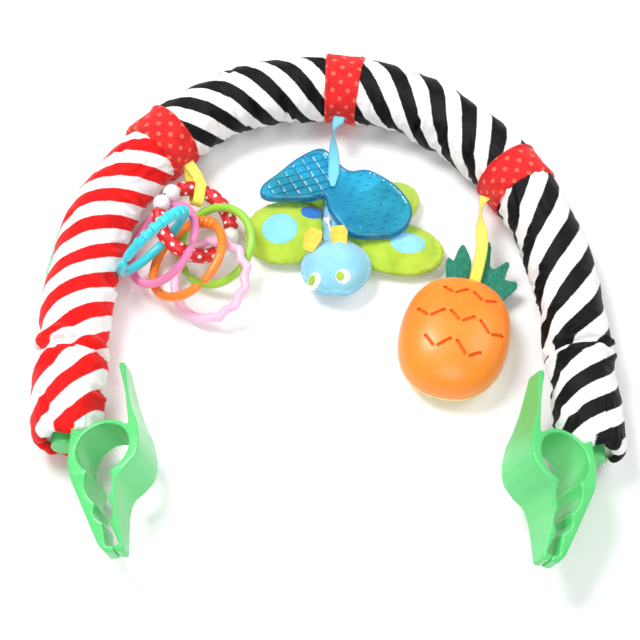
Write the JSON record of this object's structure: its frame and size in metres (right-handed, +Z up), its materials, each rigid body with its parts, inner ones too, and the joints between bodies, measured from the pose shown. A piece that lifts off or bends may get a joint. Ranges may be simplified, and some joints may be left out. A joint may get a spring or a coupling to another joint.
{
  "type": "stroller play arch",
  "caption": "Padded, bendable fabric arch with a spring clip on each end and hanging toys: linked rings, a stuffed butterfly teether and a press-to-play pineapple.",
  "frame": {"origin": "on the floor, under the middle of the whole object as it lies flat", "axes": "+X from the left leg to the right leg, +Y towards the crown of the arch, +Z up from the floor"},
  "size_m": [0.4051, 0.4171, 0.0765],
  "materials": {
    "sheathed_steel": "grey plastic sheath",
    "foam": "soft open foam",
    "red_striped_plush": "short plush, red and white stripes",
    "zebra_striped_plush": "short plush, black and white stripes",
    "red_dotted_cotton": "plain weave with small dots",
    "pale_green_cloth": "woven tape",
    "mint_green_plastic": "moulded, satin",
    "yellow_satin_ribbon": "satin",
    "blue_satin_ribbon": "satin",
    "white_gloss_plastic": "gloss",
    "red_dotted_sleeve": "smooth with white dots",
    "green_link_plastic": "gloss",
    "orange_link_plastic": "gloss",
    "pink_link_plastic": "gloss",
    "cyan_link_plastic": "gloss",
    "rose_link_plastic": "gloss",
    "clear_blue_teether": "clear, water filled",
    "pale_blue_velour": "velour",
    "green_velour": "velour",
    "light_blue_patch": "velour",
    "deep_blue_patch": "velour",
    "white_felt": "felt",
    "yellow_felt": "felt",
    "green_felt": "felt",
    "orange_gloss_plastic": "high gloss",
    "pale_yellow_plastic": "satin",
    "bright_steel": "bright",
    "green_circuit_board": "solder mask",
    "black_plastic": "matte",
    "grey_rubber": "matte"
  },
  "bodies": {
    "arch": {"bendable_core_rod": "sheathed_steel", "foam_padding": "foam", "zebra_crown_cover": "zebra_striped_plush", "left_band": "red_dotted_cotton", "middle_band": "red_dotted_cotton", "right_band": "red_dotted_cotton"},
    "left_leg": {"red_leg_cover": "red_striped_plush", "plain_green_tab": "pale_green_cloth"},
    "right_leg": {"zebra_leg_cover": "zebra_striped_plush"},
    "left_clip": {"left_clip_fixed_jaw": "mint_green_plastic"},
    "right_clip": {"right_clip_fixed_jaw": "mint_green_plastic"},
    "left_lever": {"left_clip_lever_jaw": "mint_green_plastic"},
    "right_lever": {"right_clip_lever_jaw": "mint_green_plastic"},
    "rings_toy": {"ring_ribbon": "yellow_satin_ribbon", "big_ring_core": "white_gloss_plastic", "ring_sleeve_upper": "red_dotted_sleeve", "ring_sleeve_lower": "red_dotted_sleeve", "ring_bead_1": "white_gloss_plastic", "ring_bead_2": "white_gloss_plastic", "ring_bead_3": "white_gloss_plastic", "ring_bead_4": "white_gloss_plastic"},
    "green_ring": {"green_link": "green_link_plastic"},
    "orange_ring": {"orange_link": "orange_link_plastic"},
    "pink_ring": {"pink_link": "pink_link_plastic"},
    "cyan_ring": {"cyan_link": "cyan_link_plastic"},
    "rose_ring": {"rose_link": "rose_link_plastic"},
    "butterfly": {"teether_ribbon": "blue_satin_ribbon", "clear_teether": "clear_blue_teether"},
    "stuffed_toy": {"butterfly_head": "pale_blue_velour", "butterfly_body": "pale_blue_velour", "left_lower_wing": "green_velour", "left_upper_wing": "green_velour", "right_lower_wing": "green_velour", "right_upper_wing": "green_velour", "left_wing_patch": "light_blue_patch", "right_wing_patch": "light_blue_patch", "deep_blue_patch": "deep_blue_patch", "left_eye": "white_felt", "right_eye": "white_felt", "left_feeler": "yellow_felt", "right_feeler": "yellow_felt", "white_tie_cord": "white_felt"},
    "pineapple": {"pineapple_ribbon": "yellow_satin_ribbon", "pineapple_back_shell": "pale_yellow_plastic", "left_felt_leaf": "green_felt", "right_felt_leaf": "green_felt", "melody_module_case": "white_gloss_plastic", "button_cell_1": "bright_steel", "button_cell_2": "bright_steel", "button_cell_3": "bright_steel", "sound_circuit_board": "green_circuit_board", "speaker": "black_plastic", "switch_dome": "grey_rubber", "module_screw": "bright_steel"},
    "pineapple_front": {"pineapple_front_shell": "orange_gloss_plastic"}
  },
  "joints": [
    {"name": "left_leg_flex", "type": "hinge", "parent": "arch", "child": "left_leg", "pos_m": [-0.11893, 0.13331, 0.02612], "axis": [0, 0, 1], "range_deg": [-8, 0], "deforming": ["foam_padding", "bendable_core_rod", "left_band"]},
    {"name": "right_leg_flex", "type": "hinge", "parent": "arch", "child": "right_leg", "pos_m": [0.13652, 0.10039, 0.02612], "axis": [0, 0, 1], "range_deg": [0, 8], "deforming": ["foam_padding", "bendable_core_rod", "right_band"]},
    {"name": "left_clip_swivel", "type": "hinge", "parent": "left_leg", "child": "left_clip", "pos_m": [-0.17644, -0.1285, 0.02612], "axis": [0, 1, 0], "range_deg": [-45, 45]},
    {"name": "right_clip_swivel", "type": "hinge", "parent": "right_leg", "child": "right_clip", "pos_m": [0.17802, -0.1385, 0.02612], "axis": [0, 1, 0], "range_deg": [-45, 45]},
    {"name": "left_lever_squeeze", "type": "hinge", "parent": "left_clip", "child": "left_lever", "pos_m": [-0.1428, -0.1065, 0.03576], "axis": [-0.2756, 0, 0.9613], "range_deg": [0, 15], "stiffness_Nm_per_rad": 1, "springref_deg": -9.74},
    {"name": "right_lever_squeeze", "type": "hinge", "parent": "right_clip", "child": "right_lever", "pos_m": [0.14712, -0.1165, 0.04255], "axis": [-0.4695, 0, -0.8829], "range_deg": [0, 15], "stiffness_Nm_per_rad": 1, "springref_deg": -9.74},
    {"name": "rings_swing", "type": "hinge", "parent": "arch", "child": "rings_toy", "pos_m": [-0.10035, 0.11553, 0.02612], "axis": [-0.6915, -0.7224, 0], "range_deg": [0, 28]},
    {"name": "green_link_spin", "type": "hinge", "parent": "rings_toy", "child": "green_ring", "pos_m": [-0.07928, 0.05056, 0.01804], "axis": [-0.44, -0.1857, 0.8786], "continuous": true},
    {"name": "orange_link_spin", "type": "hinge", "parent": "rings_toy", "child": "orange_ring", "pos_m": [-0.09842, 0.0351, 0.02466], "axis": [-0.5832, 0.1045, 0.8056], "continuous": true},
    {"name": "pink_link_spin", "type": "hinge", "parent": "rings_toy", "child": "pink_ring", "pos_m": [-0.11641, 0.04786, 0.02397], "axis": [-0.6371, 0.0314, 0.7701], "continuous": true},
    {"name": "cyan_link_spin", "type": "hinge", "parent": "rings_toy", "child": "cyan_ring", "pos_m": [-0.12207, 0.037, 0.04477], "axis": [0.6928, -0.6756, -0.2522], "continuous": true},
    {"name": "rose_link_spin", "type": "hinge", "parent": "rings_toy", "child": "rose_ring", "pos_m": [-0.08233, 0.02166, 0.01925], "axis": [-0.4307, -0.2198, 0.8753], "continuous": true},
    {"name": "butterfly_swing", "type": "hinge", "parent": "arch", "child": "butterfly", "pos_m": [0.00995, 0.15675, 0.02612], "axis": [-0.9945, 0.1044, 0], "range_deg": [0, 8]},
    {"name": "stuffed_toy_drop", "type": "hinge", "parent": "butterfly", "child": "stuffed_toy", "pos_m": [0.007, 0.1142, 0.0175], "axis": [1, 0, 0], "range_deg": [0, 8]},
    {"name": "pineapple_swing", "type": "hinge", "parent": "arch", "child": "pineapple", "pos_m": [0.11482, 0.08659, 0.02612], "axis": [-0.5368, 0.8437, 0], "range_deg": [0, 55]},
    {"name": "pineapple_press", "type": "slide", "parent": "pineapple", "child": "pineapple_front", "axis": [0, 0, -1], "range_m": [0, 0.0015], "stiffness_N_per_m": 800, "springref_m": -0.001, "deforming": ["switch_dome"]}
  ]
}
